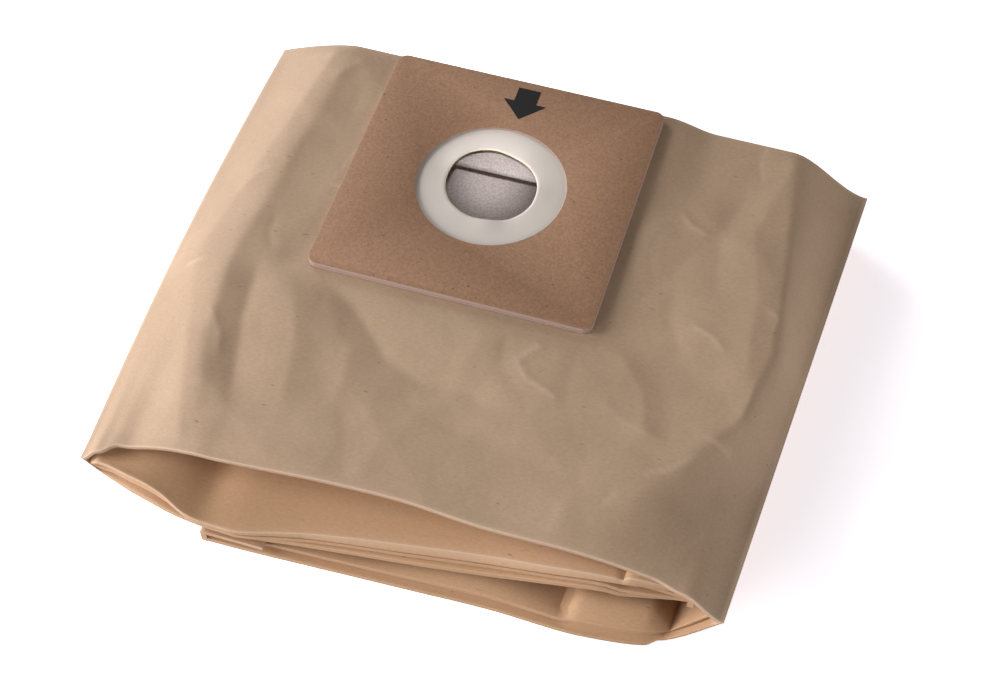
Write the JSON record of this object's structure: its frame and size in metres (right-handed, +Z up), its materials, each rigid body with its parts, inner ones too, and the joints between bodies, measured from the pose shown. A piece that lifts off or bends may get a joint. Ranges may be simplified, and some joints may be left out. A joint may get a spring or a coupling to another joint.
{
  "type": "vacuum dust bag",
  "caption": "folded paper vacuum cleaner dust bag with tucked-in sides, a square card collar, a round window and a rubber inlet seal",
  "frame": {"origin": "the middle of the folded bag's underside, on the surface it lies on", "axes": "+Z up; +X along the bag's folded length, to the side where the top layer runs on beyond the collar; +Y to the edge that the collar stands at"},
  "size_m": [0.2678, 0.2324, 0.0469],
  "materials": {
    "kraft_paper": "uncoated brown kraft paper, lightly creased",
    "filter_paper": "soft white filter paper",
    "collar_card": "brown grey board, matt",
    "seal_rubber": "off-white rubber sheet, satin",
    "black_ink": "matt black print"
  },
  "bodies": {
    "root": {"outer_bag": "kraft_paper", "filter_liner": "filter_paper", "collar_back_card": "collar_card", "collar_front_card": "collar_card", "seal_membrane": "seal_rubber", "arrow_print": "black_ink"}
  },
  "joints": []
}
